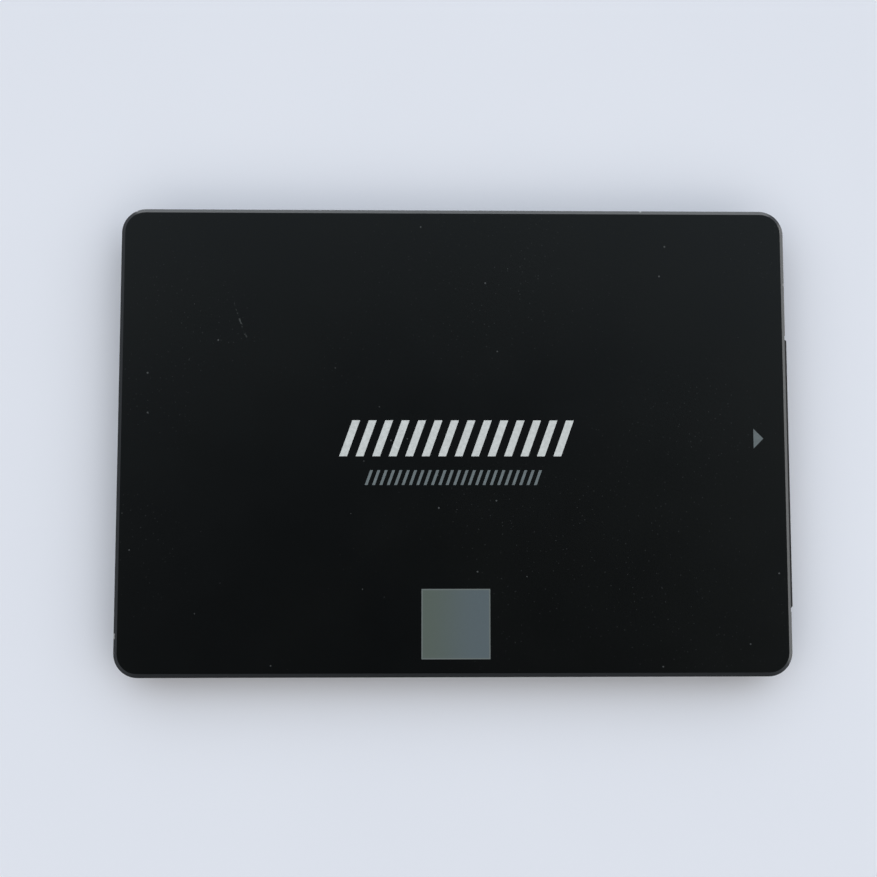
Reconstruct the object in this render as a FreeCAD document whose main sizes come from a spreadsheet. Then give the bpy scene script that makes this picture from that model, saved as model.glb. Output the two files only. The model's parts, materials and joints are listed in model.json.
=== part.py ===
import FreeCAD, Part
import math
import os
import Sketcher

# Solid state drive of the 2.5 inch form factor. All outlines are drawn about the middle of the case,
# with x along the length and the plug at the +x end, y across and z up from the bottom plane.
# Every body is then shifted by half of the plug's reach, so that the origin is the bottom centre of
# the whole drive, plug included.

DIMENSIONS = (
    # case
    ("case_length", 100.0), ("case_width", 69.85), ("case_height", 6.8), ("corner_radius", 3.6),
    ("edge_chamfer", 0.65), ("wall_thickness", 1.5), ("roof_thickness", 0.9),
    ("plate_thickness", 0.8), ("plate_ledge", 0.75), ("plate_gap", 0.1), ("weld_overlap", 0.1),
    ("overcut", 1.0),
    # threaded mounting holes, four below and two in each side
    ("mount_near", 14.0), ("mount_far", 90.6), ("mount_spacing", 61.72), ("side_hole_height", 3.0),
    ("mount_radius", 1.25), ("bottom_hole_depth", 3.2), ("side_hole_depth", 2.5),
    ("mouth_chamfer", 0.25), ("mount_block_half", 3.0), ("mount_block_inner", 27.7),
    # case screws and their corner blocks
    ("case_screw_inset_x", 3.7), ("case_screw_inset_y", 5.2), ("corner_block_half", 2.7),
    ("screw_hole_radius", 1.02), ("screw_radius", 1.0), ("case_screw_length", 4.2),
    ("countersink_diameter", 3.9), ("countersink_hole", 2.3), ("case_head_radius", 1.75),
    ("socket_radius", 0.62), ("socket_lobe", 0.16), ("socket_depth", 0.45), ("head_recess", 0.05),
    # board, its standoffs and screws
    ("board_bottom", 2.3), ("board_thickness", 1.0), ("board_rear", -47.9), ("board_front", 44.0),
    ("board_half_width", 26.7), ("board_wing_rear", -36.9), ("board_wing_front", 32.2),
    ("board_wing_half", 32.9), ("standoff_radius", 2.3), ("standoff_rear_x", -44.6),
    ("standoff_rear_y", 20.5), ("standoff_front_x", 34.6), ("standoff_front_y", 21.4),
    ("board_hole_radius", 1.2), ("board_head_radius", 1.8), ("board_head_height", 0.8),
    ("board_screw_length", 2.9), ("rib_depth", 0.5), ("rib_width", 1.0), ("rib_rear_x", -22.0),
    ("rib_front_x", 1.5), ("rib_half_length", 24.0),
    # plug: two tongues between two guide arms
    ("plug_reach", 0.2), ("plug_offset", -4.8), ("plug_width", 42.7), ("plug_chamfer", 1.5),
    ("plug_rear", 40.85), ("plug_wall_rear", 44.1), ("plug_wall_front", 45.6), ("plug_floor", 0.9),
    ("plug_top", 5.8), ("hood_bottom", 5.8), ("hood_top", 6.1), ("arm_width", 3.6),
    ("opening_gap", 0.6), ("opening_top", 6.15), ("opening_rear", 43.9),
    ("relief_inset", 1.3), ("relief_top", 6.25),
    ("tongue_tip", 49.6), ("tongue_face", 3.5), ("tongue_thickness", 1.23), ("tongue_lead", 0.3),
    ("signal_low", 1.485), ("signal_high", 11.895), ("power_low", -21.495), ("power_high", -0.815),
    ("key_depth", 1.2), ("key_width", 0.85), ("peg_x", 42.4), ("peg_inset", 1.65),
    ("peg_radius", 0.5), ("peg_gap", 0.08), ("peg_length", 1.3),
    ("lock_thickness", 0.25), ("lock_foot", 0.55), ("lock_rear", 41.4), ("lock_length", 2.0),
    ("lock_height", 1.5),
    # contacts
    ("contact_pitch", 1.27), ("contact_width", 0.84), ("contact_thickness", 0.2),
    ("contact_proud", 0.05), ("contact_tail", 39.3), ("contact_step", 42.2), ("contact_ramp", 0.4),
    ("contact_long", 49.1), ("contact_middle", 48.6), ("contact_short", 48.1),
    # packages on the board
    ("ball_radius", 0.22), ("ball_height", 0.25), ("ball_pitch", 1.0), ("package_chamfer", 0.08),
    ("dot_radius", 0.45), ("dot_depth", 0.04), ("dot_inset", 1.2),
    ("flash_length", 14.0), ("flash_width", 18.0), ("flash_height", 0.95),
    ("flash_near_x", -10.3), ("flash_far_x", -33.5), ("flash_y", 12.6),
    ("controller_size", 16.0), ("controller_height", 1.15), ("controller_x", 13.5),
    ("controller_y", -8.0), ("buffer_length", 9.0), ("buffer_width", 11.5),
    ("buffer_height", 0.9), ("buffer_x", 13.5), ("buffer_y", 12.5),
    ("regulator_size", 5.0), ("regulator_height", 0.9), ("regulator_x", 28.5), ("regulator_y", -16.0),
    ("plateau_margin", 1.0), ("plateau_face", 5.2), ("pad_margin", 1.0),
    # small parts on the board
    ("chip_length", 1.6), ("chip_width", 0.8), ("chip_height", 0.8), ("chip_cap", 0.3),
    ("resistor_height", 0.45), ("chip_row_pitch", 1.9), ("cap_row_gap", 2.2),
    ("polymer_length", 3.5), ("polymer_width", 2.8), ("polymer_height", 1.9), ("polymer_x", 35.0),
    ("polymer_y", -7.5), ("polymer_pitch", 4.0), ("inductor_size", 4.0), ("inductor_height", 1.8),
    ("inductor_x", 22.8), ("inductor_y", -22.6), ("inductor_pitch", 5.6),
    ("crystal_length", 3.2), ("crystal_width", 2.5), ("crystal_height", 0.75), ("crystal_x", 25.6),
    ("crystal_y", 1.6), ("boot_length", 4.9), ("boot_width", 3.9), ("boot_height", 1.45),
    ("boot_x", 28.0), ("boot_y", 11.0), ("lead_pitch", 1.27), ("lead_width", 0.41),
    ("lead_reach", 1.0), ("lead_thickness", 0.2), ("fuse_x", 35.4), ("fuse_y", -19.4),
    ("diode_x", 35.4), ("diode_y", -23.2), ("protector_length", 3.2), ("protector_width", 1.6),
    ("protector_height", 0.8), ("terminal_length", 0.5),
    ("signal_row_x", 36.8), ("signal_row_y", 3.2),
    # label
    ("label_length", 64.0), ("label_width", 46.0), ("label_radius", 1.5), ("label_gap", 0.25),
    ("label_x", -3.0), ("label_recess", 0.15), ("label_thickness", 0.1),
)

document = FreeCAD.newDocument("solid_state_drive")
sheet = document.addObject("Spreadsheet::Sheet", "dims")
for line, (alias, number) in enumerate(DIMENSIONS, start=1):
    sheet.set(f"A{line}", alias)
    sheet.set(f"B{line}", str(number))
    sheet.setAlias(f"B{line}", alias)
document.recompute()

HALF_LENGTH = "dims.case_length / 2"
HALF_WIDTH = "dims.case_width / 2"
NEAR_X = f"({HALF_LENGTH} - dims.mount_near)"
FAR_X = f"({HALF_LENGTH} - dims.mount_far)"
MOUNT_Y = "dims.mount_spacing / 2"
SCREW_X = f"({HALF_LENGTH} - dims.case_screw_inset_x)"
SCREW_Y = f"({HALF_WIDTH} - dims.case_screw_inset_y)"
ROOF = "(dims.case_height - dims.roof_thickness)"
INTO_ROOF = f"({ROOF} + dims.weld_overlap)"
BOARD_TOP = "(dims.board_bottom + dims.board_thickness)"
PLUG_LOW = "(dims.plug_offset - dims.plug_width / 2)"
PLUG_HIGH = "(dims.plug_offset + dims.plug_width / 2)"
PLUG_FRONT = f"({HALF_LENGTH} + dims.plug_reach)"
OPENING_LOW = f"({PLUG_LOW} - dims.opening_gap)"
OPENING_HIGH = f"({PLUG_HIGH} + dims.opening_gap)"
SIGNS = (-1, 1)
CLOSE = 1e-4

sub_parts = []


def value(expression):
    """The number, in millimetres, that an expression over the sheet stands for."""
    return float(sheet.evalExpression(expression))


def origin_feature(body, role):
    """One of a body's own origin planes or axes."""
    return next(item for item in body.Origin.OriginFeatures if item.Role == role)


def place(item, x="0", y="0", z="0", quarter_turns=0):
    """Bind an object's place to the sheet, in case coordinates."""
    turn = FreeCAD.Rotation(FreeCAD.Vector(0, 0, 1), 90 * quarter_turns)
    item.Placement = FreeCAD.Placement(FreeCAD.Vector(), turn)
    item.setExpression("Placement.Base.x", f"{x} - dims.plug_reach / 2")
    item.setExpression("Placement.Base.y", y)
    item.setExpression("Placement.Base.z", z)


def new_body(name, placed=True):
    """A part design body at the origin of the case, or a pattern for copies that stays unplaced."""
    body = document.addObject("PartDesign::Body", name)
    body.Label = name
    if placed:
        place(body)
        sub_parts.append(body)
    return body


def rectangle(x_low, x_high, y_low, y_high):
    """The corners of a rectangle."""
    return [(x_low, y_low), (x_high, y_low), (x_high, y_high), (x_low, y_high)]


def block(x, y, half_x, half_y):
    """The corners of a rectangle about a middle point."""
    return rectangle(f"{x} - {half_x}", f"{x} + {half_x}", f"{y} - {half_y}", f"{y} + {half_y}")


def bind_point(sketch, geometry, point, x, y):
    """Hold one point of a sketch at a place given by two expressions."""
    for kind, expression in (("DistanceX", x), ("DistanceY", y)):
        number = value(expression)
        index = sketch.addConstraint(Sketcher.Constraint(kind, -1, 1, geometry, point, number))
        sketch.setExpression(f"Constraints[{index}]", expression)


def draw_polygon(sketch, corners):
    """Closed outline of straight lines with every corner bound to the sheet."""
    points = [FreeCAD.Vector(value(x), value(y), 0) for x, y in corners]
    first = sketch.GeometryCount
    count = len(points)
    for index in range(count):
        sketch.addGeometry(Part.LineSegment(points[index], points[(index + 1) % count]), False)
    for index in range(count):
        following = first + (index + 1) % count
        sketch.addConstraint(Sketcher.Constraint("Coincident", first + index, 2, following, 1))
    for index, (x, y) in enumerate(corners):
        bind_point(sketch, first + index, 1, x, y)


def draw_circle(sketch, x, y, radius):
    """Circle with its centre and radius bound to the sheet."""
    centre = FreeCAD.Vector(value(x), value(y), 0)
    circle = Part.Circle(centre, FreeCAD.Vector(0, 0, 1), value(radius))
    geometry = sketch.addGeometry(circle, False)
    index = sketch.addConstraint(Sketcher.Constraint("Radius", geometry, value(radius)))
    sketch.setExpression(f"Constraints[{index}]", radius)
    bind_point(sketch, geometry, 3, x, y)


def draw_rounded(sketch, x_low, x_high, y_low, y_high, radius):
    """Rectangle with rounded corners, arcs first and then the lines between them."""
    right = f"{x_high} - {radius}"
    left = f"{x_low} + {radius}"
    upper = f"{y_high} - {radius}"
    lower = f"{y_low} + {radius}"
    centres = [(right, upper), (left, upper), (left, lower), (right, lower)]
    directions = [(1, 0), (0, 1), (-1, 0), (0, -1)]
    first = sketch.GeometryCount
    for quarter, (x, y) in enumerate(centres):
        circle = Part.Circle(FreeCAD.Vector(value(x), value(y), 0), FreeCAD.Vector(0, 0, 1), value(radius))
        start = quarter * math.pi / 2
        arc = sketch.addGeometry(Part.ArcOfCircle(circle, start, start + math.pi / 2), False)
        for point, (across, up) in ((1, directions[quarter]), (2, directions[(quarter + 1) % 4])):
            bind_point(sketch, arc, point, f"{x} + {across} * {radius}", f"{y} + {up} * {radius}")
        index = sketch.addConstraint(Sketcher.Constraint("DistanceX", -1, 1, arc, 3, value(x)))
        sketch.setExpression(f"Constraints[{index}]", x)
    arcs = [sketch.Geometry[first + quarter] for quarter in range(4)]
    for quarter in range(4):
        following = (quarter + 1) % 4
        line = Part.LineSegment(arcs[quarter].EndPoint, arcs[following].StartPoint)
        geometry = sketch.addGeometry(line, False)
        sketch.addConstraint(Sketcher.Constraint("Coincident", first + quarter, 2, geometry, 1))
        sketch.addConstraint(Sketcher.Constraint("Coincident", geometry, 2, first + following, 1))


def new_sketch(body, name, shapes, level="0", plane="XY_Plane"):
    """Sketch on an origin plane; a shape is a list of corners, a circle or a rounded rectangle."""
    sketch = body.newObject("Sketcher::SketchObject", name)
    sketch.AttachmentSupport = (origin_feature(body, plane), [""])
    sketch.MapMode = "FlatFace"
    sketch.setExpression("AttachmentOffset.Base.z", level)
    for shape in shapes:
        if isinstance(shape, list):
            draw_polygon(sketch, shape)
        elif len(shape) == 3:
            draw_circle(sketch, *shape)
        else:
            draw_rounded(sketch, *shape)
    return sketch


def finish_feature(body, feature, grows):
    """Recompute, and make sure that the feature added or removed material as it should."""
    before = feature.BaseFeature.Shape.Volume if feature.BaseFeature else 0
    body.Tip = feature
    document.recompute()
    change = feature.Shape.Volume - before
    if (change > 0) != grows or abs(change) < CLOSE:
        raise RuntimeError(f"{body.Label} {feature.Name} changed the volume by {change}")
    return feature


def pad(body, name, shapes, low, high, plane="XY_Plane"):
    """Material between two levels above the sketch plane."""
    feature = body.newObject("PartDesign::Pad", name)
    feature.Profile = new_sketch(body, f"{name}_sketch", shapes, low, plane)
    feature.setExpression("Length", f"({high}) - ({low})")
    return finish_feature(body, feature, True)


def pocket(body, name, shapes, low, high, plane="XY_Plane"):
    """Material removed between two levels above the sketch plane."""
    feature = body.newObject("PartDesign::Pocket", name)
    feature.Profile = new_sketch(body, f"{name}_sketch", shapes, low, plane)
    feature.setExpression("Length", f"({high}) - ({low})")
    feature.Reversed = True
    return finish_feature(body, feature, False)


def edges_where(feature, wanted):
    """Names of the edges that pass a test."""
    return [f"Edge{index}" for index, edge in enumerate(feature.Shape.Edges, start=1) if wanted(edge)]


def at_level(edge, level):
    """An edge that lies flat at one height."""
    box = edge.BoundBox
    return abs(box.ZMin - level) < CLOSE and abs(box.ZMax - level) < CLOSE


def chamfer(body, name, size, wanted):
    """Chamfer on the edges of the tip that pass a test."""
    base = body.Tip
    feature = body.newObject("PartDesign::Chamfer", name)
    feature.Base = (base, edges_where(base, wanted))
    feature.setExpression("Size", size)
    return finish_feature(body, feature, False)


def copies(label, pattern, places):
    """One node made of copies of a body, each at (x, y, z, quarter turns)."""
    links = []
    for number, (x, y, z, quarter_turns) in enumerate(places, start=1):
        link = document.addObject("App::Link", f"{label}_copy_{number}")
        link.LinkedObject = pattern
        place(link, x, y, z, quarter_turns)
        links.append(link)
    return joined(label, links)


def joined(label, pieces):
    """One node that holds several separate solids."""
    compound = document.addObject("Part::Compound", label)
    compound.Label = label
    compound.Links = pieces
    sub_parts.append(compound)
    return compound


# Case: deep shell with roof, walls, corner blocks, threaded mounting blocks and standoffs

SCREW_PLACES = [(f"{i} * {SCREW_X}", f"{j} * {SCREW_Y}") for i in SIGNS for j in SIGNS]
MOUNT_STATIONS = [(x, j) for x in (FAR_X, NEAR_X) for j in SIGNS]
MOUNT_PLACES = [(x, f"{j} * {MOUNT_Y}") for x, j in MOUNT_STATIONS]
STANDOFFS = [
    ("dims.standoff_rear_x", "dims.standoff_rear_y"),
    ("dims.standoff_rear_x", "-1 * dims.standoff_rear_y"),
    ("dims.standoff_front_x", "dims.standoff_front_y"),
]
FLASH_PLACES = [
    (x, f"{j} * dims.flash_y") for x in ("dims.flash_near_x", "dims.flash_far_x") for j in SIGNS
]


def case_outline(inset):
    """The rounded case outline drawn in by one distance."""
    x = f"({HALF_LENGTH} - ({inset}))"
    y = f"({HALF_WIDTH} - ({inset}))"
    return (f"-1 * {x}", x, f"-1 * {y}", y, f"(dims.corner_radius - ({inset}))")


def mount_block(x, side, inner, outer, margin="0"):
    """Plan of a threaded block that stands against a side wall."""
    half = f"(dims.mount_block_half + {margin})"
    y_edges = sorted((f"{side} * ({inner})", f"{side} * ({outer})"), key=value)
    return rectangle(f"{x} - {half}", f"{x} + {half}", *y_edges)


def top_cover():
    """Deep shell whose walls carry all mounting threads."""
    body = new_body("top_cover")
    pad(body, "solid", [case_outline("0")], "0", "dims.case_height")
    height = value("dims.case_height")
    chamfer(body, "roof_edge", "dims.edge_chamfer", lambda edge: at_level(edge, height))

    pocket(body, "plate_seat", [case_outline("dims.plate_ledge")], "0", "dims.plate_thickness")
    pocket(body, "cavity", [case_outline("dims.wall_thickness")], "dims.plate_thickness", ROOF)

    wall = "dims.wall_thickness - dims.weld_overlap"
    block_x = f"({SCREW_X} - dims.corner_block_half)"
    block_y = f"({SCREW_Y} - dims.corner_block_half)"
    wall_x = f"({HALF_LENGTH} - ({wall}))"
    wall_y = f"({HALF_WIDTH} - ({wall}))"
    corner_blocks = []
    for i in SIGNS:
        for j in SIGNS:
            x_edges = sorted((f"{i} * {block_x}", f"{i} * {wall_x}"), key=value)
            y_edges = sorted((f"{j} * {block_y}", f"{j} * {wall_y}"), key=value)
            corner_blocks.append(rectangle(*x_edges, *y_edges))
    pad(body, "corner_blocks", corner_blocks, "dims.plate_thickness", INTO_ROOF)

    seat_wall = f"{HALF_WIDTH} - dims.plate_ledge + dims.weld_overlap"
    blocks = [mount_block(x, j, "dims.mount_block_inner", seat_wall) for x, j in MOUNT_STATIONS]
    pad(body, "mount_blocks", blocks, "0", INTO_ROOF)

    half = "(dims.controller_size / 2 + dims.plateau_margin)"
    plateau = block("dims.controller_x", "dims.controller_y", half, half)
    pad(body, "heat_plateau", [plateau], "dims.plateau_face", INTO_ROOF)
    pad(body, "standoffs", [(x, y, "dims.standoff_radius") for x, y in STANDOFFS], BOARD_TOP, INTO_ROOF)
    ribs = [block(x, "0", "dims.rib_width / 2", "dims.rib_half_length")
            for x in ("dims.rib_rear_x", "dims.rib_front_x")]
    pad(body, "roof_ribs", ribs, f"{ROOF} - dims.rib_depth", INTO_ROOF)

    opening = rectangle("dims.opening_rear", f"{HALF_LENGTH} + dims.overcut", OPENING_LOW, OPENING_HIGH)
    pocket(body, "plug_opening", [opening], "-1 * dims.overcut", "dims.opening_top")
    relief = rectangle("dims.opening_rear", f"{HALF_LENGTH} + dims.overcut",
                       f"{OPENING_LOW} + dims.relief_inset", f"{OPENING_HIGH} - dims.relief_inset")
    pocket(body, "opening_relief", [relief], "dims.hood_bottom", "dims.relief_top")

    pocket(body, "bottom_threads", [(x, y, "dims.mount_radius") for x, y in MOUNT_PLACES],
           "0", "dims.bottom_hole_depth")
    side_circles = [(x, "dims.side_hole_height", "dims.mount_radius") for x in (FAR_X, NEAR_X)]
    # The sketch plane's normal points along -y, so the levels below count from +y to -y.
    pocket(body, "side_threads_left", side_circles,
           f"-1 * {HALF_WIDTH}", f"-1 * {HALF_WIDTH} + dims.side_hole_depth", "XZ_Plane")
    pocket(body, "side_threads_right", side_circles,
           f"{HALF_WIDTH} - dims.side_hole_depth", HALF_WIDTH, "XZ_Plane")
    side = value(HALF_WIDTH)
    radius = value("dims.mount_radius")

    def is_mouth(edge):
        """The rim of a threaded hole at the outside of the case."""
        if not isinstance(edge.Curve, Part.Circle) or abs(edge.Curve.Radius - radius) > CLOSE:
            return False
        outside_y = abs(abs(edge.Curve.Center.y) - side) < CLOSE
        return outside_y or at_level(edge, 0)

    chamfer(body, "thread_mouths", "dims.mouth_chamfer", is_mouth)
    pocket(body, "case_screw_threads", [(x, y, "dims.screw_hole_radius") for x, y in SCREW_PLACES],
           "dims.plate_thickness", "dims.case_screw_length + dims.weld_overlap")
    pocket(body, "board_screw_threads", [(x, y, "dims.screw_hole_radius") for x, y in STANDOFFS],
           BOARD_TOP, "dims.board_bottom + dims.board_screw_length + dims.weld_overlap")


def label_outline(gap):
    """The rear label's rounded rectangle, drawn out by a gap."""
    half_x = f"(dims.label_length / 2 + {gap})"
    half_y = f"(dims.label_width / 2 + {gap})"
    return (f"(dims.label_x - {half_x})", f"(dims.label_x + {half_x})", f"-1 * {half_y}", half_y,
            f"(dims.label_radius + {gap})")


def bottom_cover():
    """Flat plate let into the shell, notched round the mounting blocks and the plug."""
    body = new_body("bottom_cover")
    pad(body, "plate", [case_outline("dims.plate_ledge + dims.plate_gap")], "0", "dims.plate_thickness")
    notches = [mount_block(x, j, "dims.mount_block_inner - dims.plate_gap", HALF_WIDTH, "dims.plate_gap")
               for x, j in MOUNT_STATIONS]
    pocket(body, "mount_notches", notches, "0", "dims.plate_thickness")
    cut_out = rectangle("dims.opening_rear", HALF_LENGTH, OPENING_LOW, OPENING_HIGH)
    pocket(body, "plug_notch", [cut_out], "0", "dims.plate_thickness")
    pocket(body, "label_recess", [label_outline("dims.label_gap")], "0", "dims.label_recess")

    circles = [(x, y, "dims.countersink_hole / 2") for x, y in SCREW_PLACES]
    hole = body.newObject("PartDesign::Hole", "screw_holes")
    hole.Profile = new_sketch(body, "screw_hole_sketch", circles)
    document.recompute()
    hole.HoleCutType = "Countersink"
    hole.setExpression("Diameter", "dims.countersink_hole")
    hole.setExpression("HoleCutDiameter", "dims.countersink_diameter")
    hole.HoleCutCountersinkAngle = 90
    hole.DepthType = "ThroughAll"
    hole.Reversed = True
    finish_feature(body, hole, False)


def rear_label():
    """Film label that lies in the recess of the bottom cover."""
    body = new_body("rear_label")
    low = "dims.label_recess - dims.label_thickness"
    pad(body, "film", [label_outline("0")], low, "dims.label_recess")


def screw(name, profile, socket_level):
    """Turned screw about z with a six-lobed socket that opens downwards."""
    body = new_body(name, placed=False)
    turned = body.newObject("PartDesign::Revolution", "turned")
    turned.Profile = new_sketch(body, "turned_sketch", [profile], plane="XZ_Plane")
    turned.ReferenceAxis = (origin_feature(body, "Z_Axis"), [""])
    turned.Angle = 360
    finish_feature(body, turned, True)
    socket_top = f"{socket_level} + dims.socket_depth"
    pocket(body, "socket", [("0", "0", "dims.socket_radius")], socket_level, socket_top)
    lobes = [(f"dims.socket_radius * cos({angle})", f"dims.socket_radius * sin({angle})", "dims.socket_lobe")
             for angle in range(0, 360, 60)]
    pocket(body, "lobes", lobes, socket_level, socket_top)
    return body


def case_screws():
    """Four countersunk screws that hold the bottom cover."""
    cone = "(dims.case_head_radius - dims.screw_radius)"
    low = "dims.head_recess"
    profile = [
        ("0", low), ("dims.case_head_radius", low), ("dims.screw_radius", f"{low} + {cone}"),
        ("dims.screw_radius", "dims.case_screw_length - dims.screw_radius / 2"),
        ("dims.screw_radius / 2", "dims.case_screw_length"), ("0", "dims.case_screw_length"),
    ]
    pattern = screw("case_screw_pattern", profile, low)
    copies("case_screws", pattern, [(x, y, "0", 0) for x, y in SCREW_PLACES])


def board_screws():
    """Three pan-head screws that clamp the board to the standoffs, heads below the board."""
    head = "-1 * dims.board_head_height"
    edge = "(dims.board_head_height / 4)"
    profile = [
        ("0", head), (f"dims.board_head_radius - {edge}", head),
        ("dims.board_head_radius", f"{head} + {edge}"), ("dims.board_head_radius", "0"),
        ("dims.screw_radius", "0"),
        ("dims.screw_radius", "dims.board_screw_length - dims.screw_radius / 2"),
        ("dims.screw_radius / 2", "dims.board_screw_length"), ("0", "dims.board_screw_length"),
    ]
    pattern = screw("board_screw_pattern", profile, head)
    copies("board_screws", pattern, [(x, y, "dims.board_bottom", 0) for x, y in STANDOFFS])


# Circuit board and plug

PEG_PLACES = [
    ("dims.peg_x", f"{PLUG_LOW} + dims.peg_inset"),
    ("dims.peg_x", f"{PLUG_HIGH} - dims.peg_inset"),
]


def circuit_board():
    """Board with a wider middle between the mounting blocks."""
    body = new_body("circuit_board")
    half = "dims.board_half_width"
    wing = "dims.board_wing_half"
    upper = [
        ("dims.board_front", half), ("dims.board_wing_front", half), ("dims.board_wing_front", wing),
        ("dims.board_wing_rear", wing), ("dims.board_wing_rear", half), ("dims.board_rear", half),
    ]
    lower = [(x, f"-1 * {y}") for x, y in reversed(upper)]
    pad(body, "laminate", [upper + lower], "dims.board_bottom", BOARD_TOP)
    holes = [(x, y, "dims.board_hole_radius") for x, y in STANDOFFS]
    holes += [(x, y, "dims.peg_radius + dims.peg_gap") for x, y in PEG_PLACES]
    pocket(body, "holes", holes, "dims.board_bottom", BOARD_TOP)


def contact(name, y, tip):
    """Sprung strip from its solder tail, through the plug's base, to the underside of a tongue."""
    body = new_body(name, placed=False)
    thick = "dims.contact_thickness"
    strip = "(dims.tongue_face - dims.contact_proud)"
    ramp = "dims.contact_step + dims.contact_ramp"
    profile = [
        ("dims.contact_tail", BOARD_TOP), ("dims.contact_step", BOARD_TOP), (ramp, strip),
        (tip, strip), (tip, f"{strip} + {thick}"), (ramp, f"{strip} + {thick}"),
        ("dims.contact_step", f"{BOARD_TOP} + {thick}"), ("dims.contact_tail", f"{BOARD_TOP} + {thick}"),
    ]
    # The plane's normal points along -y, so the levels are the negative of y.
    pad(body, "strip", [profile], f"-1 * ({y}) - dims.contact_width / 2",
        f"-1 * ({y}) + dims.contact_width / 2", "XZ_Plane")
    place(body)
    return body


def contact_row(label, middle, tips):
    """A row of contacts, the first one at the highest y."""
    pieces = []
    for index, tip in enumerate(tips):
        steps = (len(tips) - 1) / 2 - index
        y = f"{middle} + {steps} * dims.contact_pitch"
        pieces.append(contact(f"{label}_{index + 1}", y, f"dims.contact_{tip}"))
    return joined(label, pieces)


def connector_housing(contacts):
    """Moulded plug body, with slots where the contacts lie."""
    body = new_body("connector_moulding", placed=False)
    place(body)
    full = (PLUG_LOW, PLUG_HIGH)
    pad(body, "front_wall", [rectangle("dims.plug_wall_rear", "dims.plug_wall_front", *full)],
        "dims.plug_floor", "dims.hood_top")
    into_wall = "(dims.plug_wall_front - dims.weld_overlap)"
    pad(body, "base", [rectangle("dims.plug_rear", into_wall, *full)], BOARD_TOP, "dims.plug_top")
    corner = f"({PLUG_FRONT} - dims.plug_chamfer)"
    hood = [(into_wall, PLUG_LOW), (corner, PLUG_LOW), (PLUG_FRONT, f"{PLUG_LOW} + dims.plug_chamfer"),
            (PLUG_FRONT, f"{PLUG_HIGH} - dims.plug_chamfer"), (corner, PLUG_HIGH), (into_wall, PLUG_HIGH)]
    pad(body, "hood", [hood], "dims.hood_bottom", "dims.hood_top")
    low_arm = [(into_wall, PLUG_LOW), (corner, PLUG_LOW), (PLUG_FRONT, f"{PLUG_LOW} + dims.plug_chamfer"),
               (PLUG_FRONT, f"{PLUG_LOW} + dims.arm_width"), (into_wall, f"{PLUG_LOW} + dims.arm_width")]
    high_arm = [(into_wall, f"{PLUG_HIGH} - dims.arm_width"), (PLUG_FRONT, f"{PLUG_HIGH} - dims.arm_width"),
                (PLUG_FRONT, f"{PLUG_HIGH} - dims.plug_chamfer"), (corner, PLUG_HIGH), (into_wall, PLUG_HIGH)]
    pad(body, "arms", [low_arm, high_arm], "dims.plug_floor", "dims.hood_top")
    tongues = [rectangle(into_wall, "dims.tongue_tip", "dims.signal_low", "dims.signal_high"),
               rectangle(into_wall, "dims.tongue_tip", "dims.power_low", "dims.power_high")]
    pad(body, "tongues", tongues, "dims.tongue_face", "dims.tongue_face + dims.tongue_thickness")
    tip = value("dims.tongue_tip")
    chamfer(body, "tongue_lead", "dims.tongue_lead",
          lambda edge: edge.BoundBox.YLength > 1 and abs(edge.BoundBox.XMin - tip) < CLOSE)
    keys = [rectangle(into_wall, "dims.tongue_tip - dims.tongue_lead",
                      "dims.signal_low", "dims.signal_low + dims.key_width"),
            rectangle(into_wall, "dims.tongue_tip - dims.tongue_lead",
                      "dims.power_high - dims.key_width", "dims.power_high")]
    pad(body, "keys", keys, "dims.tongue_face - dims.key_depth", "dims.tongue_face + dims.weld_overlap")
    pegs = [(x, y, "dims.peg_radius") for x, y in PEG_PLACES]
    pad(body, "pegs", pegs, f"{BOARD_TOP} - dims.peg_length", f"{BOARD_TOP} + dims.weld_overlap")

    strips = document.addObject("Part::Compound", "contact_strips")
    strips.Links = contacts
    housing = document.addObject("Part::Cut", "connector_housing")
    housing.Label = "connector_housing"
    housing.Base = body
    housing.Tool = strips
    sub_parts.append(housing)


def connector_locks():
    """Two angle clips that solder the plug's ends to the board."""
    pieces = []
    for name, edge, way in (("lower_lock", PLUG_LOW, -1), ("upper_lock", PLUG_HIGH, 1)):
        body = new_body(name, placed=False)
        place(body)
        rear = "dims.lock_rear"
        front = "dims.lock_rear + dims.lock_length"
        plate = sorted((edge, f"{edge} + {way} * dims.lock_thickness"), key=value)
        foot = sorted((edge, f"{edge} + {way} * dims.lock_foot"), key=value)
        plate_top = f"{BOARD_TOP} + dims.lock_height"
        foot_top = f"{BOARD_TOP} + dims.lock_thickness"
        pad(body, f"{name}_plate", [rectangle(rear, front, *plate)], BOARD_TOP, plate_top)
        pad(body, f"{name}_foot", [rectangle(rear, front, *foot)], BOARD_TOP, foot_top)
        pieces.append(body)
    joined("connector_locks", pieces)


# Packages on the board

def package(name, length, width, height, x, y, z):
    """Moulded package with a pin-one dot sunk into its upper face."""
    body = new_body(name)
    pad(body, "mould", [block("0", "0", f"({length}) / 2", f"({width}) / 2")], "0", height)
    tall = value(height)
    chamfer(body, "mould_edge", "dims.package_chamfer", lambda edge: at_level(edge, tall))
    dot = (f"({length}) / -2 + dims.dot_inset", f"({width}) / -2 + dims.dot_inset", "dims.dot_radius")
    pocket(body, "dot", [dot], f"{height} - dims.dot_depth", height)
    place(body, x, y, z)
    return body


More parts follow.
